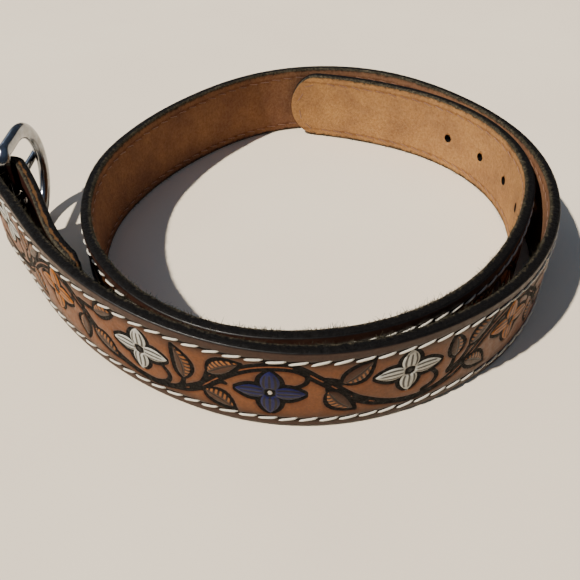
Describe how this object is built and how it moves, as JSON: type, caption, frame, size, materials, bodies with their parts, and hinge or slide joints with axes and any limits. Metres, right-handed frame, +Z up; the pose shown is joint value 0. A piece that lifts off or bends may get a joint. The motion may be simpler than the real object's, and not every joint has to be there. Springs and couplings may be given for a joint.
{
  "type": "tooled leather belt",
  "caption": "Leather belt standing on its edge in a loose coil, with tongue holes near its round tip and a metal heel-bar buckle hinged in its folded end.",
  "frame": {"origin": "bottom centre of the whole belt's bounding box, on the surface it stands on", "axes": "+Z up along the strap's width; +X to the right and +Y away, as seen from the picture's side; the buckle is at -X"},
  "size_m": [0.2548, 0.2384, 0.0545],
  "materials": {
    "leather": "semi-matt, tooled and dyed",
    "chrome": "polished"
  },
  "bodies": {
    "strap": {"strap": "leather"},
    "buckle": {"buckle_frame": "chrome", "tongue": "chrome"}
  },
  "joints": [
    {"name": "buckle_swing", "type": "hinge", "parent": "strap", "child": "buckle", "pos_m": [-0.11883, -0.01155, 0.02725], "axis": [0, 0, 1], "range_deg": [-45, 80]}
  ]
}
